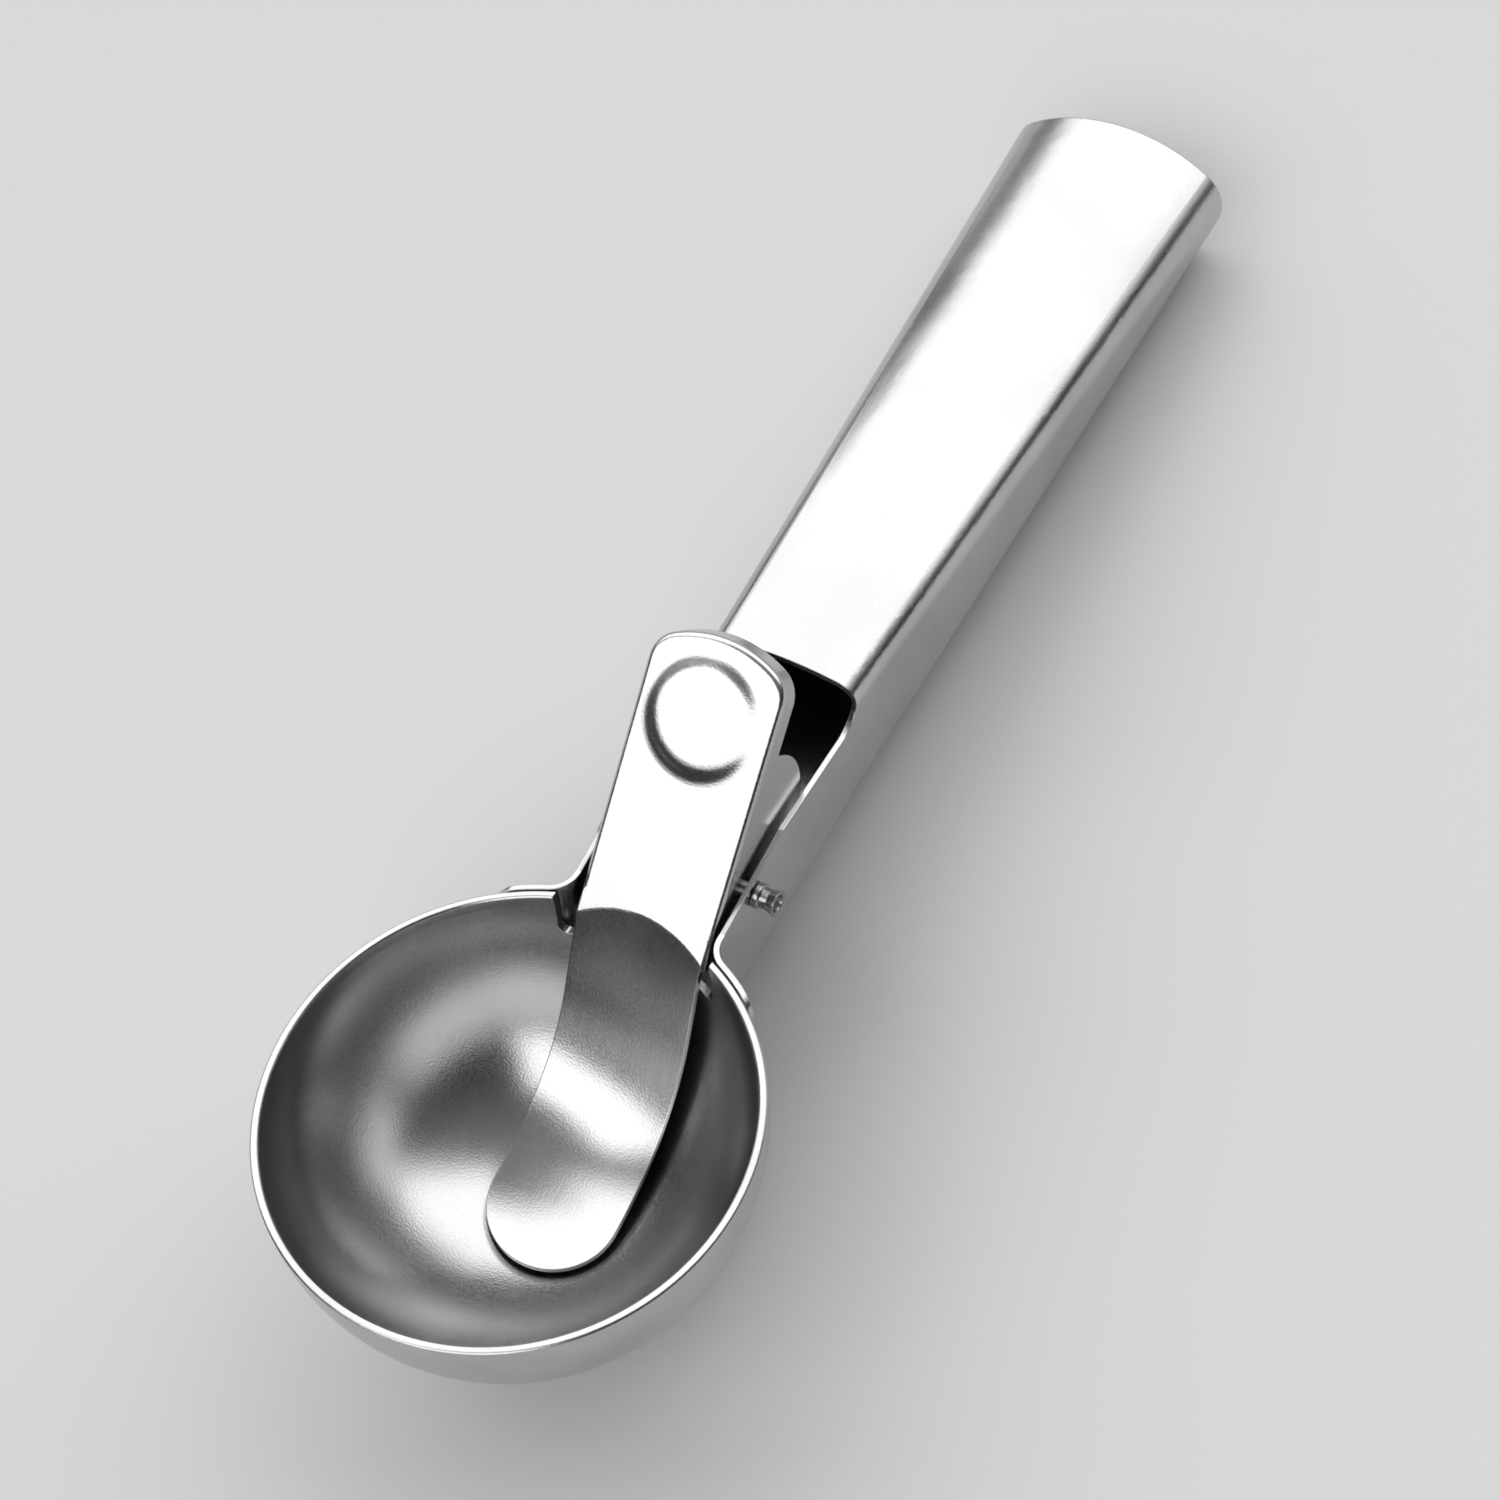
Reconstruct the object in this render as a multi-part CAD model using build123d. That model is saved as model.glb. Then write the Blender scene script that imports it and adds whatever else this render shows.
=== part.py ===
from build123d import *

import math
import os
from typing import NamedTuple

# An ice cream scoop pressed from stainless sheet. The half-ball bowl is welded to the ears of a
# hollow handle. A thumb lever turns on a hollow rivet across the handle's open channel, and its
# tongue peels the ice cream off the inside of the bowl. A torsion spring returns it.
# Each piece is drawn in the bowl's frame: the rim lies in z = 0 about the origin, and the handle
# runs towards +Y. The whole is then tipped back until it stands on the bowl and the handle's end.

# Bowl
BOWL_OUTER_RADIUS = 29.0
BOWL_WALL = 1.0
BOWL_COLLAR_HEIGHT = 1.7
RIM_CHAMFER = 0.2
NOTCH_DEPTH = 6.9
NOTCH_CORNER_RADIUS = 1.2
NOTCH_SIDE_CLEARANCE = 1.75

# Lever: a flat thumb plate with turned-down sides, running into the tongue at a crease
LEVER_SHEET = 0.8
LEVER_HALF_WIDTH = 8.9
LEVER_FACE_ANGLE = 46.0
LEVER_CREASE_INSIDE_BOWL = 1.37
LEVER_CREASE_ABOVE_NOTCH = 4.36
LEVER_CREASE_MIDDLE_ALONG = 2.0
LEVER_CREASE_ROUNDING = 1.2
LEVER_FRONT_LAP = 1.4
LEVER_FACE_LENGTH = 36.4
LEVER_END_CROWN_RADIUS = 15.0
LEVER_END_CORNER_RADIUS = 4.0
LEVER_FLANGE_DEPTH = 3.3
LEVER_BEND_RADIUS = 0.8
SIDE_LOBE_RADIUS = 10.2
SIDE_LOBE_ALONG = 14.9
SIDE_LOBE_BELOW = 4.1
SIDE_NOSE_RADIUS = 1.5
PIVOT_EYE_RADIUS = 4.8
PIVOT_ALONG = 8.05
PIVOT_BELOW = 5.81
BUTTON_SIDE_MARGIN = 0.1
BUTTON_RING_WIDTH = 2.8
BUTTON_HEIGHT = 0.5
BUTTON_FROM_END = 9.7

# Tongue: a bent strip, rounder along its length than across, that clears the bowl at both ends
TONGUE_SIDE_INSET = 0.4
TONGUE_TIP_LENGTH = 8.0
TONGUE_TIP_PAST_CENTRE = 5.9
TONGUE_TIP_CLEARANCE = 0.7
TONGUE_NOTCH_CLEARANCE = 1.9
TONGUE_FLATTENING = 1.4
TONGUE_CROSS_RADIUS = 55.0
TONGUE_BEND_TURN = 120.0
TONGUE_CROSS_TURN = 60.0

# Handle: a tapering tube whose front is cut down to an open channel
HANDLE_SHEET = 0.7
CHANNEL_SIDE_CLEARANCE = 0.6
TUBE_MOUTH_FROM_BOWL = 33.8
TUBE_MOUTH_FLOOR = -12.2
TUBE_MOUTH_SIDE_HEIGHT = 12.808
TUBE_MOUTH_TOP_RADIUS = 44.0
TUBE_MOUTH_FLOOR_RADIUS = 44.0
TUBE_MOUTH_SHOULDER_RADIUS = 3.0
TUBE_MOUTH_HEEL_RADIUS = 4.2
TUBE_LENGTH = 91.5
TUBE_END_HALF_WIDTH = 15.1
TUBE_END_FLOOR = 0.4
TUBE_END_SIDE_HEIGHT = 0.376
TUBE_END_TOP_RADIUS = 22.0
TUBE_END_FLOOR_RADIUS = 30.0
TUBE_END_SHOULDER_RADIUS = 5.6
TUBE_END_HEEL_RADIUS = 6.0
CHANNEL_EDGE_FRONT_FROM_BOWL = 1.5
CHANNEL_EDGE_RAMP_LENGTH = 14.0
CHANNEL_EDGE_RAMP_RISE = 3.0
MOUTH_CORNER_RADIUS = 4.0
BOWL_SEAT_GAP = 0.1
EAR_WIDTH = 7.4
EAR_HEIGHT = 10.0
EAR_CORNER_RADIUS = 2.5
EAR_BEND_RADIUS = 3.0

# Pivot rivet: a hollow barrel with a bead and a flared mouth at one end and a low head at the other
RIVET_RADIUS = 1.3
RIVET_BORE_RADIUS = 0.9
RIVET_BEAD_RADIUS = 1.6
RIVET_BEAD_WIDTH = 1.0
RIVET_NECK_WIDTH = 0.9
RIVET_FLARE_RADIUS = 1.6
RIVET_FLARE_WIDTH = 1.1
RIVET_MOUTH_RADIUS = 1.15
RIVET_HEAD_RADIUS = 1.75
RIVET_HEAD_HEIGHT = 0.6
RIVET_ROUNDING = 0.3
RIVET_WALL_CLEARANCE = 0.02
RIVET_LEVER_CLEARANCE = 0.06

# Torsion spring: coiled round the rivet, one leg under the thumb plate and one on the channel floor
SPRING_WIRE = 0.9
SPRING_COIL_CLEARANCE = 0.3
SPRING_PITCH = 1.5
SPRING_FULL_TURNS = 5
SPRING_LIFT_LEG = 12.0
SPRING_FLOOR_LEG_ANGLE = -75.0
SPRING_SEAT_GAP = 0.1

# Sizes that follow from the ones above
bowl_inner_radius = BOWL_OUTER_RADIUS - BOWL_WALL
bowl_centre = Vector(0, 0, -BOWL_COLLAR_HEIGHT)
notch_half_width = LEVER_HALF_WIDTH + NOTCH_SIDE_CLEARANCE
channel_inner_half_width = LEVER_HALF_WIDTH + CHANNEL_SIDE_CLEARANCE
channel_half_width = channel_inner_half_width + HANDLE_SHEET
lever_inner_half_width = LEVER_HALF_WIDTH - LEVER_SHEET
face_angle = math.radians(LEVER_FACE_ANGLE)
face_plane = Plane(
    origin=(0, BOWL_OUTER_RADIUS - LEVER_CREASE_INSIDE_BOWL, LEVER_CREASE_ABOVE_NOTCH - NOTCH_DEPTH),
    x_dir=(1, 0, 0),
    z_dir=(0, -math.sin(face_angle), math.cos(face_angle)),
)
pivot = face_plane.from_local_coords(Vector(0, PIVOT_ALONG, -PIVOT_BELOW))
tongue_half_width = LEVER_HALF_WIDTH - TONGUE_SIDE_INSET
button_foot_radius = LEVER_HALF_WIDTH - LEVER_BEND_RADIUS - BUTTON_SIDE_MARGIN
button_top_radius = button_foot_radius - BUTTON_RING_WIDTH
tube_mouth_y = BOWL_OUTER_RADIUS + TUBE_MOUTH_FROM_BOWL
tube_end_y = tube_mouth_y + TUBE_LENGTH
floor_slope = (TUBE_END_FLOOR - TUBE_MOUTH_FLOOR) / TUBE_LENGTH
channel_edge_front_y = BOWL_OUTER_RADIUS + CHANNEL_EDGE_FRONT_FROM_BOWL
channel_edge_rear_y = channel_edge_front_y + CHANNEL_EDGE_RAMP_LENGTH
ear_reach = channel_half_width + EAR_WIDTH

# Length of a cut that passes right through, and how near two places count as one
far = 200.0
touching = 0.01


class Section(NamedTuple):
    """A tube section: upright sides between a crowned floor and a crowned top, with round corners."""

    y: float
    half_width: float
    floor: float
    top: float
    floor_radius: float
    heel_radius: float
    top_radius: float
    shoulder_radius: float


def inset(section, wall):
    """The section one wall thickness further in."""
    return Section(
        section.y,
        section.half_width - wall,
        section.floor + wall,
        section.top - wall,
        section.floor_radius - wall,
        section.heel_radius - wall,
        section.top_radius - wall,
        section.shoulder_radius - wall,
    )


def crown_rise(half_width, crown_radius, corner_radius):
    """How far a crown stands past the end of the upright sides."""
    across = half_width - corner_radius
    return crown_radius - math.sqrt((crown_radius - corner_radius) ** 2 - across**2)


def top_above_floor(half_width, side_height, floor_radius, heel_radius, top_radius, shoulder_radius):
    """Height of a section: its upright sides and both crowns."""
    floor_crown = crown_rise(half_width, floor_radius, heel_radius)
    return floor_crown + side_height + crown_rise(half_width, top_radius, shoulder_radius)


def corner_points(half_width, height, crown_radius, corner_radius, side):
    """Start, middle and end of the corner between a crown and an upright side; side is 1 or -1."""
    crown_centre = height - side * crown_radius
    centre_x = half_width - corner_radius
    rise = math.sqrt((crown_radius - corner_radius) ** 2 - centre_x**2)
    centre_z = crown_centre + side * rise
    start = math.atan2(centre_x, rise)
    angles = [start, (start + math.pi / 2) / 2, math.pi / 2]
    return [
        (centre_x + corner_radius * math.sin(a), centre_z + side * corner_radius * math.cos(a))
        for a in angles
    ]


def section_face(section):
    """The section as a face across the handle."""
    upper = corner_points(
        section.half_width, section.top, section.top_radius, section.shoulder_radius, 1
    )
    lower = corner_points(
        section.half_width, section.floor, section.floor_radius, section.heel_radius, -1
    )
    mirrored_upper = [(-x, z) for x, z in upper]
    mirrored_lower = [(-x, z) for x, z in lower]
    outline = [
        ThreePointArc(mirrored_upper[0], (0, section.top), upper[0]),
        ThreePointArc(*upper),
        Line(upper[2], lower[2]),
        ThreePointArc(*reversed(lower)),
        ThreePointArc(lower[0], (0, section.floor), mirrored_lower[0]),
        ThreePointArc(*mirrored_lower),
        Line(mirrored_lower[2], mirrored_upper[2]),
        ThreePointArc(*reversed(mirrored_upper)),
    ]
    return Plane.XZ.offset(-section.y) * make_face(outline)


def tube_body(wall):
    """The whole handle as a solid, one wall thickness in from its outer faces."""
    mouth_height = top_above_floor(
        channel_half_width,
        TUBE_MOUTH_SIDE_HEIGHT,
        TUBE_MOUTH_FLOOR_RADIUS,
        TUBE_MOUTH_HEEL_RADIUS,
        TUBE_MOUTH_TOP_RADIUS,
        TUBE_MOUTH_SHOULDER_RADIUS,
    )
    mouth = Section(
        tube_mouth_y,
        channel_half_width,
        TUBE_MOUTH_FLOOR,
        TUBE_MOUTH_FLOOR + mouth_height,
        TUBE_MOUTH_FLOOR_RADIUS,
        TUBE_MOUTH_HEEL_RADIUS,
        TUBE_MOUTH_TOP_RADIUS,
        TUBE_MOUTH_SHOULDER_RADIUS,
    )
    end_height = top_above_floor(
        TUBE_END_HALF_WIDTH,
        TUBE_END_SIDE_HEIGHT,
        TUBE_END_FLOOR_RADIUS,
        TUBE_END_HEEL_RADIUS,
        TUBE_END_TOP_RADIUS,
        TUBE_END_SHOULDER_RADIUS,
    )
    end = Section(
        tube_end_y,
        TUBE_END_HALF_WIDTH,
        TUBE_END_FLOOR,
        TUBE_END_FLOOR + end_height,
        TUBE_END_FLOOR_RADIUS,
        TUBE_END_HEEL_RADIUS,
        TUBE_END_TOP_RADIUS,
        TUBE_END_SHOULDER_RADIUS,
    )
    top_slope = (end.top - mouth.top) / TUBE_LENGTH
    front = mouth._replace(
        y=0, floor=mouth.floor - floor_slope * mouth.y, top=mouth.top - top_slope * mouth.y
    )
    faces = [section_face(inset(section, wall)) for section in (front, mouth, end)]
    return loft(faces[:2], ruled=True) + loft(faces[1:], ruled=True)


def side_prism(outline_face, half_width):
    """A side-view face, drawn with y across and z up, pulled out to both sides."""
    return extrude(Plane.YZ * outline_face, amount=half_width, both=True)


def bowl_envelope(radius, top):
    """The solid ball and collar that a bowl surface of this radius goes round, up to a height."""
    ball = Pos(bowl_centre) * Sphere(radius)
    lower_half = Pos(0, 0, bowl_centre.Z - far / 2) * Box(far, far, far)
    collar = extrude(Plane.XY.offset(bowl_centre.Z) * Circle(radius), amount=top - bowl_centre.Z)
    return (ball & lower_half) + collar


def quarter_arc(radius):
    """Half of the ball's side view, from the foot of the collar down to the bottom."""
    centre = Vector(0, bowl_centre.Z)
    start = centre + Vector(radius, 0)
    middle = centre + Vector(radius, 0).rotate(Axis.Z, -45)
    return ThreePointArc(start, middle, centre - Vector(0, radius))


def make_bowl():
    """The bowl with its flat rim and the notch that the lever passes through."""
    outer = quarter_arc(BOWL_OUTER_RADIUS)
    inner = quarter_arc(bowl_inner_radius)
    rim_corners = [Vector(BOWL_OUTER_RADIUS, 0), Vector(bowl_inner_radius, 0)]
    outline = [
        outer,
        Line(outer @ 1, inner @ 1),
        inner,
        Line(inner @ 0, rim_corners[1]),
        Line(rim_corners[1], rim_corners[0]),
        Line(rim_corners[0], outer @ 0),
    ]
    face = make_face(outline)
    vertices = [face.vertices().sort_by_distance(corner)[0] for corner in rim_corners]
    shell = revolve(Plane.XZ * chamfer(vertices, RIM_CHAMFER), Axis.Z)
    notch = RectangleRounded(2 * notch_half_width, 2 * NOTCH_DEPTH, NOTCH_CORNER_RADIUS)
    return shell - extrude(Plane.XZ * notch, amount=-far)


def channel_opening():
    """The space over the channel: it is cut from the tube down to the side walls' top edges."""
    outline = Polyline(
        (0, 0),
        (channel_edge_front_y, 0),
        (channel_edge_rear_y, CHANNEL_EDGE_RAMP_RISE),
        (tube_mouth_y, CHANNEL_EDGE_RAMP_RISE),
        (tube_mouth_y, far),
        (0, far),
        close=True,
    )
    face = make_face(outline)
    corner_place = (tube_mouth_y, CHANNEL_EDGE_RAMP_RISE, 0)
    mouth_corner = face.vertices().sort_by_distance(corner_place)[0]
    face = fillet(mouth_corner, MOUTH_CORNER_RADIUS)
    return side_prism(face, far)


def flared_front(half_width, radius, bend_radius):
    """The channel's front block and the ball in one solid, with a bend in the corner between."""
    middle_z = -EAR_HEIGHT / 2
    ball = bowl_envelope(radius, 0) & Pos(0, 0, middle_z) * Box(far, far, EAR_HEIGHT)
    block = Box(2 * half_width, channel_edge_front_y, EAR_HEIGHT)
    joined = ball + Pos(0, channel_edge_front_y / 2, middle_z) * block
    corners = [
        edge
        for edge in joined.edges()
        if abs(abs(edge.center().X) - half_width) < touching
        and 0 < edge.center().Y < radius
        and -EAR_HEIGHT < edge.center().Z < 0
    ]
    return fillet(corners, bend_radius)


def make_ears(inner_front):
    """Both flared ears with the channel's front walls, hugging the bowl."""
    seat_radius = BOWL_OUTER_RADIUS + BOWL_SEAT_GAP
    outer_front = flared_front(channel_half_width, seat_radius + HANDLE_SHEET, EAR_BEND_RADIUS)
    outline = Pos(0, -EAR_HEIGHT / 2) * RectangleRounded(
        2 * ear_reach, EAR_HEIGHT, EAR_CORNER_RADIUS
    )
    return (outer_front - inner_front) & extrude(Plane.XZ * outline, amount=-far)


def make_handle():
    """The handle: tube, open channel and both ears in one piece of sheet."""
    seat_radius = BOWL_OUTER_RADIUS + BOWL_SEAT_GAP
    inner_front = flared_front(
        channel_inner_half_width, seat_radius, EAR_BEND_RADIUS + HANDLE_SHEET
    )
    handle = tube_body(0) - tube_body(HANDLE_SHEET)
    handle -= channel_opening()
    handle -= bowl_envelope(seat_radius, far)
    handle -= Pos(0, -far / 2, 0) * Box(far, far, far)
    handle = handle - inner_front + make_ears(inner_front)
    hole = Cylinder(RIVET_RADIUS + RIVET_WALL_CLEARANCE, far, rotation=(0, 90, 0))
    return handle - Pos(pivot) * hole


def tongue_geometry():
    """Centre, outer radius and outward direction of the tongue's bend, which clears both ends."""
    notch_angle = math.asin((NOTCH_DEPTH - BOWL_COLLAR_HEIGHT) / bowl_inner_radius)
    tip_angle = math.pi / 2 + math.asin(TONGUE_TIP_PAST_CENTRE / bowl_inner_radius)
    notch_end = Vector(0, math.cos(notch_angle), -math.sin(notch_angle))
    notch_end *= bowl_inner_radius - TONGUE_NOTCH_CLEARANCE
    tip_end = Vector(0, math.cos(tip_angle), -math.sin(tip_angle))
    tip_end *= bowl_inner_radius - TONGUE_TIP_CLEARANCE
    chord = tip_end - notch_end
    outward = Vector(1, 0, 0).cross(chord).normalized()
    radius = bowl_inner_radius + TONGUE_FLATTENING
    chord_depth = math.sqrt(radius**2 - (chord.length / 2) ** 2)
    centre = bowl_centre + (notch_end + tip_end) / 2 - outward * chord_depth
    return centre, radius, outward


def tongue_envelope(inset_depth):
    """What a tongue surface goes round: its bend and the straight run above it, past the crease."""
    centre, outer_radius, outward = tongue_geometry()
    radius = outer_radius - inset_depth
    crease = face_plane.from_local_coords(Vector(0, LEVER_CREASE_MIDDLE_ALONG, 0))
    top_surface = outer_radius - LEVER_SHEET
    across = crease.Y - centre.Y
    above = crease.Z - centre.Z
    distance = math.hypot(across, above)
    tangent_angle = math.atan2(above, across) - math.acos(top_surface / distance)
    tangent = Vector(math.cos(tangent_angle), math.sin(tangent_angle)) * radius
    upward = Vector(-math.sin(tangent_angle), math.cos(tangent_angle))
    run_end = tangent + upward * BOWL_OUTER_RADIUS
    bend_middle = Vector(outward.Y, outward.Z) * radius
    bend_end = tangent.rotate(Axis.Z, -TONGUE_BEND_TURN)
    outline = [
        Line(bend_end, run_end),
        Line(run_end, tangent),
        ThreePointArc(tangent, bend_middle, bend_end),
    ]
    profile = Plane.YZ * make_face(outline)
    turning_point = outward * (outer_radius - TONGUE_CROSS_RADIUS)
    turning_axis = Axis(turning_point, outward.cross(Vector(1, 0, 0)))
    start = profile.rotate(turning_axis, -TONGUE_CROSS_TURN / 2)
    return Pos(centre) * revolve(start, turning_axis, TONGUE_CROSS_TURN)


def make_tongue():
    """The strip that lies inside the bowl, up to the plane of the thumb plate."""
    shell = tongue_envelope(0) - tongue_envelope(LEVER_SHEET)
    tip_centre = TONGUE_TIP_LENGTH - TONGUE_TIP_PAST_CENTRE
    length = 2 * BOWL_OUTER_RADIUS
    strip = Pos(0, tip_centre + length / 2) * Rectangle(2 * tongue_half_width, length)
    outline = strip + Pos(0, tip_centre) * Ellipse(tongue_half_width, TONGUE_TIP_LENGTH)
    tongue = shell & extrude(outline, amount=far / 2, both=True)
    past_crease = Pos(0, far / 2 - NOTCH_DEPTH, far / 2) * Box(far, far, far)
    return tongue - face_plane * past_crease


def plate_outline(inset_depth):
    """The thumb plate from above, in its own plane, one inset in from its outer edge."""
    half_width = LEVER_HALF_WIDTH - inset_depth
    end_radius = LEVER_END_CROWN_RADIUS - inset_depth
    end = LEVER_FACE_LENGTH - inset_depth
    sag = end_radius - math.sqrt(end_radius**2 - half_width**2)
    front = -LEVER_FRONT_LAP - inset_depth
    outline = [
        Line((-half_width, front), (-half_width, end - sag)),
        ThreePointArc((-half_width, end - sag), (0, end), (half_width, end - sag)),
        Line((half_width, end - sag), (half_width, front)),
        Line((half_width, front), (-half_width, front)),
    ]
    face = make_face(outline)
    corners = face.vertices().sort_by(Axis.Y)[-2:]
    return fillet(corners, LEVER_END_CORNER_RADIUS - inset_depth)


def make_plate():
    """The thumb plate with its turned-down edge, in its own plane."""
    outer = extrude(plate_outline(0), amount=-LEVER_FLANGE_DEPTH)
    top_edges = outer.faces().sort_by(Axis.Z)[-1].edges().sort_by(Axis.Y)[1:]
    outer = fillet(top_edges, LEVER_BEND_RADIUS)
    inner = extrude(plate_outline(LEVER_SHEET), amount=-LEVER_FLANGE_DEPTH)
    return outer - Pos(0, 0, -LEVER_SHEET) * inner


def button():
    """The raised thumb button as a solid, standing through the plate's top face."""
    slope = 2 * math.atan2(BUTTON_HEIGHT, BUTTON_RING_WIDTH)
    reach = BUTTON_HEIGHT / 2 / math.sin(slope)
    middle = Vector((button_foot_radius + button_top_radius) / 2, 0, BUTTON_HEIGHT / 2)
    foot = Vector(button_foot_radius, 0, 0)
    top = Vector(button_top_radius, 0, BUTTON_HEIGHT)
    foot_below = Vector(button_foot_radius, 0, -LEVER_SHEET / 2)
    outline = [
        Line((0, 0, foot_below.Z), foot_below),
        Line(foot_below, foot),
        arc_by_corner(foot, foot - Vector(reach, 0, 0), middle),
        arc_by_corner(middle, top + Vector(reach, 0, 0), top),
        Line(top, (0, 0, top.Z)),
        Line((0, 0, top.Z), (0, 0, foot_below.Z)),
    ]
    shape = revolve(make_face(outline), Axis.Z)
    return Pos(0, LEVER_FACE_LENGTH - BUTTON_FROM_END, 0) * shape


def side_cheek():
    """The side plate's outline, in the lever's side view, joining nose, pivot eye and rear lobe."""
    lobe = Pos(SIDE_LOBE_ALONG, -SIDE_LOBE_BELOW) * Circle(SIDE_LOBE_RADIUS)
    eye = Pos(PIVOT_ALONG, -PIVOT_BELOW) * Circle(PIVOT_EYE_RADIUS)
    nose = Pos(0, -SIDE_NOSE_RADIUS - LEVER_BEND_RADIUS) * Circle(SIDE_NOSE_RADIUS)
    hull = make_hull(lobe.edges() + eye.edges() + nose.edges())
    return hull - Pos(0, far / 2 - LEVER_BEND_RADIUS) * Rectangle(far, far)


def make_lever():
    """The lever: thumb plate, button, both side plates and the tongue in one piece of sheet."""
    plate = make_plate() + button()
    plate -= Pos(0, 0, -LEVER_SHEET) * button()
    lever = face_plane * plate
    side_plane = Plane(
        origin=face_plane.origin, x_dir=face_plane.y_dir, z_dir=(1, 0, 0)
    )
    cheek = side_plane * side_cheek()
    for side in (1, -1):
        start = Pos(side * lever_inner_half_width, 0, 0)
        lever += start * extrude(cheek, amount=side * LEVER_SHEET)
    lever -= tongue_envelope(LEVER_SHEET)
    lever += make_tongue()
    crease_middle = face_plane.from_local_coords(Vector(0, LEVER_CREASE_MIDDLE_ALONG, 0))
    crease = lever.edges().sort_by_distance(crease_middle)[0]
    lever = lever.fillet(LEVER_CREASE_ROUNDING, [crease])
    hole = Cylinder(RIVET_RADIUS + RIVET_LEVER_CLEARANCE, far, rotation=(0, 90, 0))
    return lever - Pos(pivot) * hole


def make_rivet():
    """The hollow pivot rivet, a turned profile about the X axis through the pivot."""
    bead_end = channel_half_width + RIVET_BEAD_WIDTH
    neck_end = bead_end + RIVET_NECK_WIDTH
    end = neck_end + RIVET_FLARE_WIDTH
    head_end = -channel_half_width - RIVET_HEAD_HEIGHT
    outline = Polyline(
        (head_end, RIVET_BORE_RADIUS),
        (head_end, RIVET_HEAD_RADIUS),
        (-channel_half_width, RIVET_HEAD_RADIUS),
        (-channel_half_width, RIVET_RADIUS),
        (channel_half_width, RIVET_RADIUS),
        (channel_half_width, RIVET_BEAD_RADIUS),
        (bead_end, RIVET_BEAD_RADIUS),
        (bead_end, RIVET_RADIUS),
        (neck_end, RIVET_RADIUS),
        (end, RIVET_FLARE_RADIUS),
        (end, RIVET_MOUTH_RADIUS),
        (neck_end, RIVET_BORE_RADIUS),
        close=True,
    )
    round_corners = [
        (head_end, RIVET_HEAD_RADIUS),
        (channel_half_width, RIVET_BEAD_RADIUS),
        (bead_end, RIVET_BEAD_RADIUS),
    ]
    face = make_face(outline)
    corners = [face.vertices().sort_by_distance((*corner, 0))[0] for corner in round_corners]
    return Pos(pivot) * revolve(fillet(corners, RIVET_ROUNDING), Axis.X)


def biarc(start, start_direction, end, end_direction):
    """Two arcs that leave the start and reach the end along the given unit directions."""
    chord = end - start
    turn = start_direction + end_direction
    straightness = 2 * (1 - start_direction.dot(end_direction))
    along = chord.dot(turn)
    reach = (-along + math.sqrt(along**2 + straightness * chord.dot(chord))) / straightness
    first_corner = start + start_direction * reach
    second_corner = end - end_direction * reach
    joint = (first_corner + second_corner) * 0.5
    return [arc_by_corner(start, first_corner, joint), arc_by_corner(joint, second_corner, end)]


def arc_by_corner(start, corner, end):
    """The arc whose end tangents meet at the corner."""
    middle = (start + end) * 0.5
    half_chord = (end - start).length / 2
    height = (corner - middle).length
    sag = half_chord * math.tan(math.atan2(height, half_chord) / 2)
    return ThreePointArc(start, middle + (corner - middle).normalized() * sag, end)


def coil_point(turned, start_angle, coil_radius, start_x):
    """Place and direction on the coil after it has turned by an angle in radians."""
    angle = start_angle + turned
    rise = SPRING_PITCH / (2 * math.pi)
    place = Vector(start_x + rise * turned, coil_radius * math.cos(angle), coil_radius * math.sin(angle))
    direction = Vector(rise, -coil_radius * math.sin(angle), coil_radius * math.cos(angle))
    return pivot + place, direction.normalized()


def least_coil_gap(turns, start_angle, coil_radius, start_x):
    """The least clear gap between neighbouring turns, measured on points along the wire."""
    points_per_turn = 24
    count = int(turns * points_per_turn) + 1
    places = [
        coil_point(2 * math.pi * i / points_per_turn, start_angle, coil_radius, start_x)[0]
        for i in range(count)
    ]
    apart = points_per_turn // 2
    distances = [
        (places[i] - places[j]).length for i in range(count) for j in range(i + apart, count)
    ]
    return min(distances) - SPRING_WIRE


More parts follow.
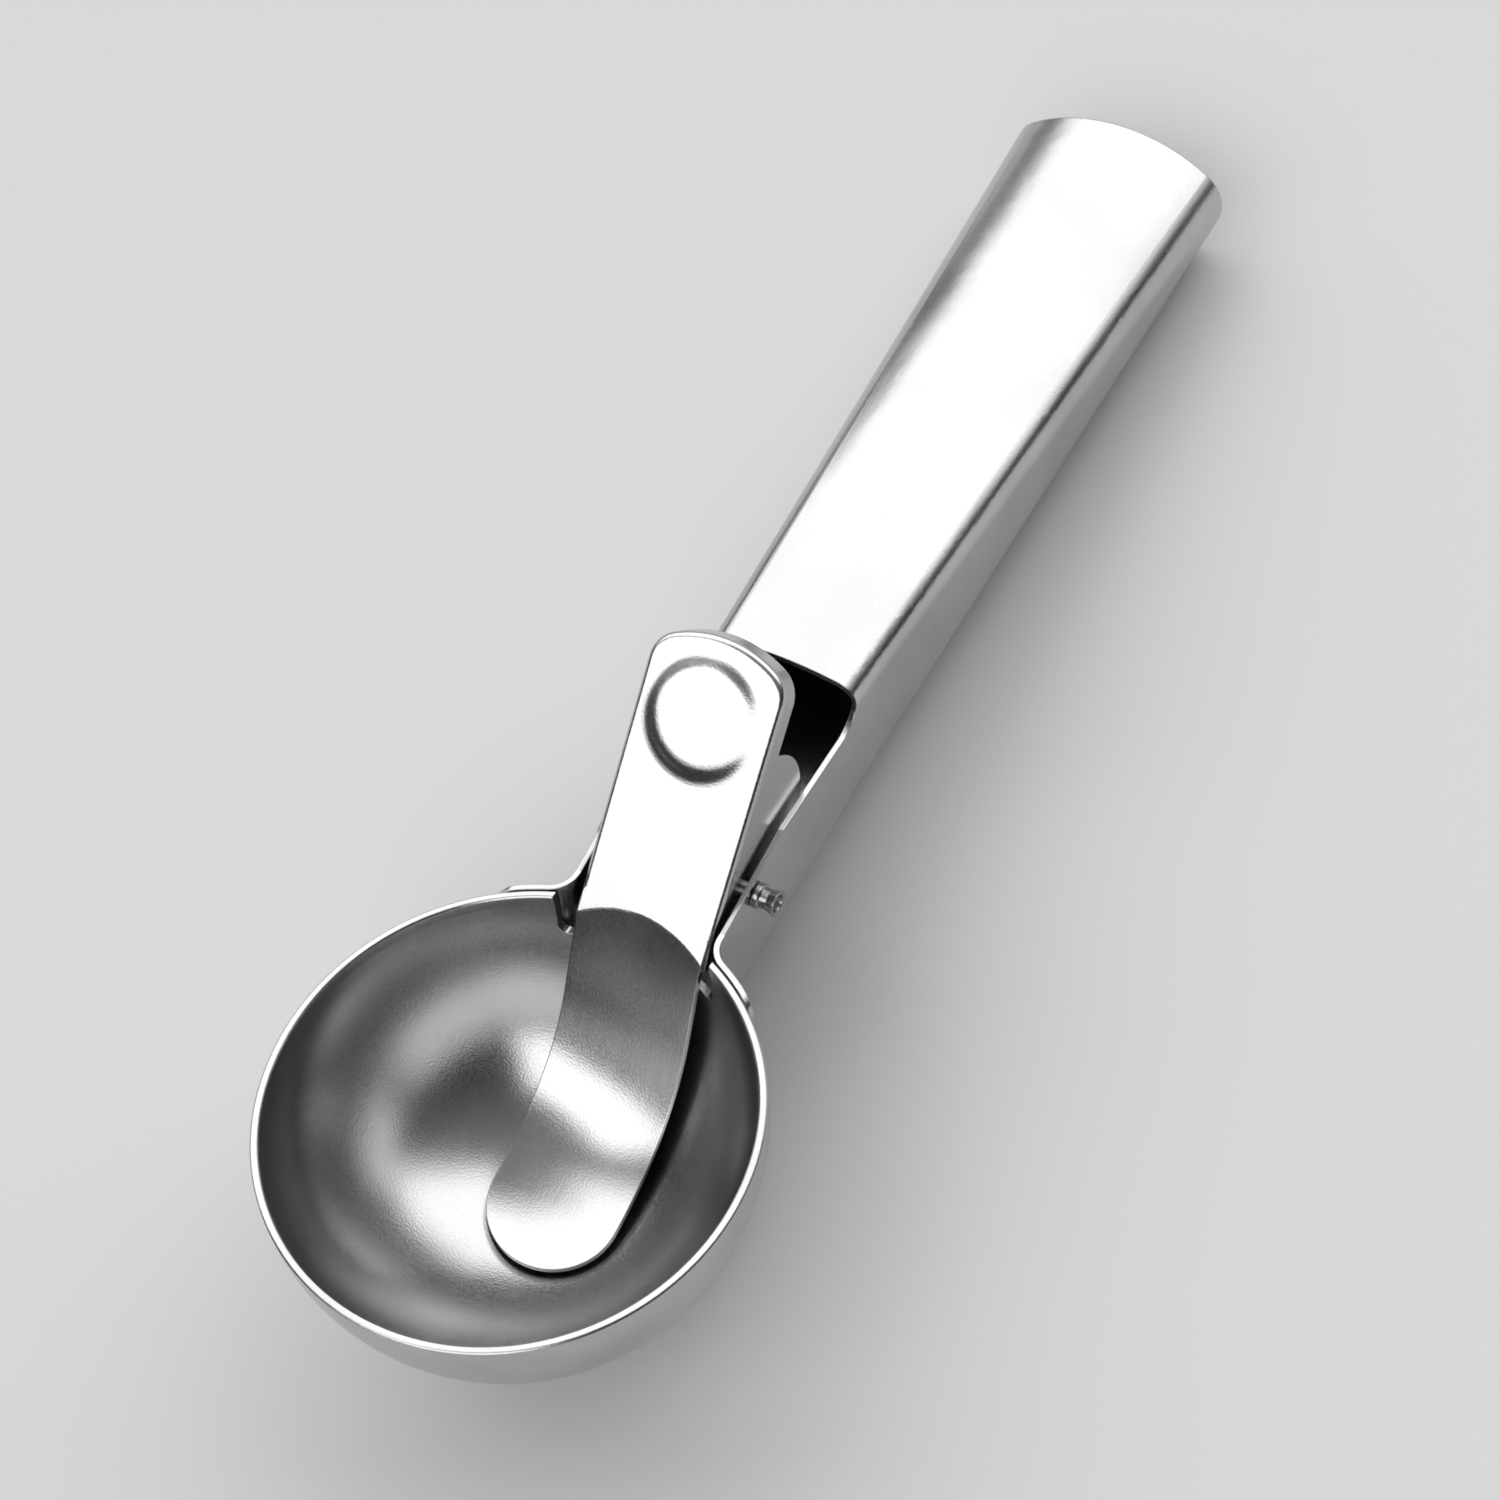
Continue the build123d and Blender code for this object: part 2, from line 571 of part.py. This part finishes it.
def make_spring():
    """The torsion spring: the lift leg, the coil in half turns and the floor leg."""
    coil_radius = RIVET_RADIUS + SPRING_COIL_CLEARANCE + SPRING_WIRE / 2
    plate_underside = PIVOT_BELOW - LEVER_SHEET - SPRING_SEAT_GAP - SPRING_WIRE / 2
    lift_angle = face_angle + math.asin((plate_underside - coil_radius) / SPRING_LIFT_LEG)
    floor_angle = math.radians(SPRING_FLOOR_LEG_ANGLE)
    start_angle = lift_angle + math.pi / 2
    end_angle = floor_angle + 2 * math.pi - math.pi / 2
    turned_in_all = end_angle - start_angle + 2 * math.pi * SPRING_FULL_TURNS
    turns = turned_in_all / (2 * math.pi)
    start_x = -SPRING_PITCH * turns / 2
    arcs_in_all = math.ceil(2 * turns)
    path = []
    for i in range(arcs_in_all):
        first = coil_point(turned_in_all * i / arcs_in_all, start_angle, coil_radius, start_x)
        second = coil_point(turned_in_all * (i + 1) / arcs_in_all, start_angle, coil_radius, start_x)
        path += biarc(*first, *second)
    coil_start, start_direction = coil_point(0, start_angle, coil_radius, start_x)
    coil_end, end_direction = coil_point(turned_in_all, start_angle, coil_radius, start_x)
    lift_end = coil_start - start_direction * SPRING_LIFT_LEG
    floor_top = TUBE_MOUTH_FLOOR + HANDLE_SHEET + floor_slope * (coil_end.Y - tube_mouth_y)
    drop = coil_end.Z - floor_top - SPRING_WIRE / 2 - SPRING_SEAT_GAP
    floor_leg = drop / (floor_slope * end_direction.Y - end_direction.Z)
    floor_end = coil_end + end_direction * floor_leg
    wire = Wire([Line(lift_end, coil_start), *path, Line(coil_end, floor_end)])
    profile = Plane(origin=lift_end, z_dir=start_direction) * Circle(SPRING_WIRE / 2)
    gap = least_coil_gap(turns, start_angle, coil_radius, start_x)
    print(f"spring: {turns:.2f} turns, least gap between turns {gap:.2f} mm")
    return sweep(profile, path=wire)


def resting_pose():
    """The turn and shift that stand the scoop on its bowl and on the end of its handle."""
    across = tube_end_y - bowl_centre.Y
    above = TUBE_END_FLOOR - bowl_centre.Z
    tilt = math.atan2(above, across) + math.asin(BOWL_OUTER_RADIUS / math.hypot(across, above))
    return Rot(-math.degrees(tilt), 0, 0)


def main():
    """Builds each piece, stands the scoop on the table and writes one file per piece."""
    pieces = {
        "bowl": make_bowl(),
        "handle": make_handle(),
        "lever": make_lever(),
        "pivot_rivet": make_rivet(),
        "return_spring": make_spring(),
    }
    turn = resting_pose()
    box = Compound([turn * piece for piece in pieces.values()]).bounding_box()
    shift = Pos(-(box.min.X + box.max.X) / 2, -(box.min.Y + box.max.Y) / 2, -box.min.Z)
    place = shift * turn
    os.makedirs("parts", exist_ok=True)
    for name, piece in pieces.items():
        placed = place * piece
        placed.label = name
        export_step(placed, f"parts/{name}.step")
    hinge = place * Pos(pivot)
    print("hinge at", hinge.position, "mm; tilt", turn.orientation.X, "degrees")
    print("size", box.size)


main()
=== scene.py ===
import math

import bpy
from mathutils import Matrix, Vector

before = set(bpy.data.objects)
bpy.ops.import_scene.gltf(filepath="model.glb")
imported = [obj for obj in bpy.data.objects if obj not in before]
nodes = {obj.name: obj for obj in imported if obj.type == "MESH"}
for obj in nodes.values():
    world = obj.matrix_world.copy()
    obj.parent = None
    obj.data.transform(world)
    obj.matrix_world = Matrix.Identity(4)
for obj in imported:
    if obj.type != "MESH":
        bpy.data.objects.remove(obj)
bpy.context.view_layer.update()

# Camera, as fitted to the photograph's outline: degrees, metres, and millimetres for the lens
CAMERA_AZIMUTH = 50.75
CAMERA_ELEVATION = 61.84
CAMERA_ROLL = -24.68
CAMERA_PLACE = Vector((0.12107, -0.10853, 0.31293))
CAMERA_LENS = 66.47
SENSOR_WIDTH = 36.0
CLIP_START = 0.01
CLIP_END = 100.0

# Steel colours, each from the cloudy wear's darkest to its lightest
SHEET_COLOURS = ((0.48, 0.479, 0.476), (0.55, 0.549, 0.546))
RIVET_COLOURS = ((0.28, 0.279, 0.277), (0.36, 0.359, 0.356))

# Finish of each CAD node: material, roughness, grain depth, brushed axis, brush depth (metres), colours
FINISHES = {
    "bowl": ("bowl_satin", 0.22, 0.000013, "X", 0.0, SHEET_COLOURS),
    "handle": ("handle_satin", 0.2, 0.000008, "Y", 0.000006, SHEET_COLOURS),
    "lever": ("lever_satin", 0.18, 0.00001, "Y", 0.000003, SHEET_COLOURS),
    "pivot_rivet": ("rivet_turned", 0.2, 0.000006, "Y", 0.000002, RIVET_COLOURS),
    "return_spring": ("spring_drawn", 0.25, 0.000005, "X", 0.000001, SHEET_COLOURS),
}

# Surface detail of the steel: noise scales per metre, noise detail, and how far each one reaches
WEAR_SCALE = 55.0
WEAR_DETAIL = 3.0
WEAR_COLOUR_RANGE = (0.35, 0.65)
WEAR_ROUGHNESS = 0.02
GRAIN_SCALE = 3900.0
GRAIN_DETAIL = 1.0
GRAIN_ROUGHNESS = 0.03
BRUSH_SCALE = 5000.0
BRUSH_DETAIL = 2.0
BRUSH_STRETCH = 0.02
ROUGHNESS_RANGE = (0.3, 0.7)
EDGE_ROUNDING = 0.00022
EDGE_SAMPLES = 6

# Soft boxes: centre azimuth and elevation, half width and height, side and top edges in degrees, strength
SOFTBOXES = [
    (208, 42, 77, 25, 14, 7, 1.74),
    (352, 43, 47, 16, 8, 5, 2.25),
]

# Room round them: azimuth and elevation of its brightest point, and its least and most light
ROOM_BRIGHT_SIDE = (205, 52)
ROOM_LIGHT = (0.05, 0.33)

# Floor: its colour, and half its side in metres
FLOOR_COLOUR = (0.64, 0.64, 0.638)
FLOOR_HALF_SIZE = 60.0


def direction(azimuth, elevation):
    """Unit vector from the object towards an azimuth (0 is -Y, 90 is +X) and elevation in degrees."""
    a, e = math.radians(azimuth), math.radians(elevation)
    return Vector((math.sin(a) * math.cos(e), -math.cos(a) * math.cos(e), math.sin(e)))


class Graph:
    """A short way to add and link shader nodes."""

    def __init__(self, tree):
        self.tree = tree
        tree.nodes.clear()

    def add(self, kind, **settings):
        node = self.tree.nodes.new(kind)
        for name, value in settings.items():
            setattr(node, name, value)
        return node

    def put(self, socket, value):
        if isinstance(value, bpy.types.NodeSocket):
            self.tree.links.new(value, socket)
        elif value is not None:
            socket.default_value = value

    def math(self, operation, *values):
        node = self.add("ShaderNodeMath", operation=operation)
        for socket, value in zip(node.inputs, values):
            self.put(socket, value)
        return node.outputs[0]

    def vector_math(self, operation, *values):
        node = self.add("ShaderNodeVectorMath", operation=operation)
        for socket, value in zip(node.inputs, values):
            self.put(socket, value)
        return node.outputs["Value"] if operation == "DOT_PRODUCT" else node.outputs[0]

    def ramp(self, value, low, high, at_low=0.0, at_high=1.0):
        """The value taken smoothly from low..high to at_low..at_high, held at both ends."""
        node = self.add("ShaderNodeMapRange", interpolation_type="SMOOTHSTEP")
        for socket, item in zip(node.inputs, (value, low, high, at_low, at_high)):
            self.put(socket, item)
        return node.outputs[0]

    def noise(self, vector, scale, detail):
        node = self.add("ShaderNodeTexNoise")
        self.put(node.inputs["Vector"], vector)
        self.put(node.inputs["Scale"], scale)
        self.put(node.inputs["Detail"], detail)
        return node.outputs["Fac"]

    def mix_colour(self, factor, first, second):
        node = self.add("ShaderNodeMix", data_type="RGBA")
        self.put(node.inputs["Factor"], factor)
        self.put(node.inputs["A"], (*first, 1.0))
        self.put(node.inputs["B"], (*second, 1.0))
        return node.outputs["Result"]

    def bump(self, height, distance, normal):
        """The normal after a relief of the height, as deep as the distance in metres."""
        node = self.add("ShaderNodeBump")
        self.put(node.inputs["Strength"], 1.0)
        self.put(node.inputs["Distance"], distance)
        self.put(node.inputs["Height"], height)
        self.put(node.inputs["Normal"], normal)
        return node.outputs["Normal"]

    def finish(self, kind, surface):
        """Links a shader to the tree's output node."""
        output = self.add(kind)
        self.put(output.inputs["Surface"], surface)


def steel(name, roughness, grain_depth, brush_axis, brush_depth, colours):
    """Satin stainless steel: a blasted grain, fine brush lines along one axis and soft cloudy wear."""
    material = bpy.data.materials.new(name)
    material.use_nodes = True
    graph = Graph(material.node_tree)
    place = graph.add("ShaderNodeTexCoord").outputs["Object"]
    stretch = [1.0, 1.0, 1.0]
    stretch["XYZ".index(brush_axis)] = BRUSH_STRETCH
    along = graph.vector_math("MULTIPLY", place, tuple(stretch))
    wear = graph.noise(place, WEAR_SCALE, WEAR_DETAIL)
    grain = graph.noise(place, GRAIN_SCALE, GRAIN_DETAIL)
    brushing = graph.noise(along, BRUSH_SCALE, BRUSH_DETAIL)
    shader = graph.add("ShaderNodeBsdfPrincipled")
    graph.put(shader.inputs["Metallic"], 1.0)
    colour = graph.mix_colour(graph.ramp(wear, *WEAR_COLOUR_RANGE), *colours)
    graph.put(shader.inputs["Base Color"], colour)
    worn = graph.ramp(wear, *ROUGHNESS_RANGE, roughness - WEAR_ROUGHNESS, roughness + WEAR_ROUGHNESS)
    blasted = graph.ramp(grain, *ROUGHNESS_RANGE, -GRAIN_ROUGHNESS, GRAIN_ROUGHNESS)
    graph.put(shader.inputs["Roughness"], graph.math("ADD", worn, blasted))
    edges = graph.add("ShaderNodeBevel", samples=EDGE_SAMPLES)
    graph.put(edges.inputs["Radius"], EDGE_ROUNDING)
    normal = graph.bump(grain, grain_depth, edges.outputs["Normal"])
    normal = graph.bump(brushing, brush_depth, normal)
    graph.put(shader.inputs["Normal"], normal)
    graph.finish("ShaderNodeOutputMaterial", shader.outputs[0])
    return material


def dress_nodes():
    """Gives each CAD node its finished material."""
    for name, finish in FINISHES.items():
        material = steel(*finish)
        for slot in nodes[name].material_slots:
            slot.material = material


def make_floor():
    """A plain pale floor."""
    mesh = bpy.data.meshes.new("floor")
    s = FLOOR_HALF_SIZE
    mesh.from_pydata([(-s, -s, 0), (s, -s, 0), (s, s, 0), (-s, s, 0)], [], [(0, 1, 2, 3)])
    floor = bpy.data.objects.new("floor", mesh)
    bpy.context.scene.collection.objects.link(floor)
    material = bpy.data.materials.new("floor_pale")
    material.use_nodes = True
    graph = Graph(material.node_tree)
    shader = graph.add("ShaderNodeBsdfDiffuse")
    graph.put(shader.inputs["Color"], (*FLOOR_COLOUR, 1.0))
    graph.finish("ShaderNodeOutputMaterial", shader.outputs[0])
    mesh.materials.append(material)


def softbox(graph, ray, azimuth, elevation, half_width, half_height, side_edge, top_edge, strength):
    """The light of a large curved soft box along a ray: full inside, fading across its edges."""
    ahead = graph.vector_math("DOT_PRODUCT", ray, tuple(direction(azimuth, 0)))
    across = graph.vector_math("DOT_PRODUCT", ray, tuple(direction(azimuth + 90, 0)))
    above = graph.vector_math("DOT_PRODUCT", ray, (0, 0, 1))
    turn = graph.math("ABSOLUTE", graph.math("ARCTAN2", across, ahead))
    rise = graph.math("SUBTRACT", graph.math("ARCSINE", above), math.radians(elevation))
    rise = graph.math("ABSOLUTE", rise)
    sides = [math.radians(half_width - side_edge), math.radians(half_width + side_edge)]
    ends = [math.radians(half_height - top_edge), math.radians(half_height + top_edge)]
    inside = graph.math("MULTIPLY", graph.ramp(turn, *sides, 1.0, 0.0), graph.ramp(rise, *ends, 1.0, 0.0))
    return graph.math("MULTIPLY", inside, strength)


def make_world():
    """The studio round the scoop: two large soft boxes in a grey room."""
    world = bpy.data.worlds.new("studio")
    world.use_nodes = True
    bpy.context.scene.world = world
    graph = Graph(world.node_tree)
    ray = graph.add("ShaderNodeTexCoord").outputs["Generated"]
    towards_wall = graph.vector_math("DOT_PRODUCT", ray, tuple(direction(*ROOM_BRIGHT_SIDE)))
    light = graph.ramp(towards_wall, 0.0, 1.0, *ROOM_LIGHT)
    for box in SOFTBOXES:
        light = graph.math("ADD", light, softbox(graph, ray, *box))
    studio = graph.add("ShaderNodeBackground")
    graph.put(studio.inputs["Color"], light)
    graph.finish("ShaderNodeOutputWorld", studio.outputs[0])


def make_camera():
    """The photograph's camera."""
    back = direction(CAMERA_AZIMUTH, CAMERA_ELEVATION)
    level = Vector((0, 0, 1)).cross(back).normalized()
    turn = Matrix.Rotation(math.radians(CAMERA_ROLL), 3, back)
    right = turn @ level
    upward = back.cross(right)
    data = bpy.data.cameras.new("camera")
    data.lens = CAMERA_LENS
    data.sensor_width = SENSOR_WIDTH
    data.clip_start = CLIP_START
    data.clip_end = CLIP_END
    camera = bpy.data.objects.new("camera", data)
    bpy.context.scene.collection.objects.link(camera)
    axes = Matrix((right, upward, back)).transposed()
    camera.matrix_world = Matrix.Translation(CAMERA_PLACE) @ axes.to_4x4()
    bpy.context.scene.camera = camera


dress_nodes()
make_floor()
make_world()
make_camera()
bpy.context.scene.view_settings.view_transform = "Standard"
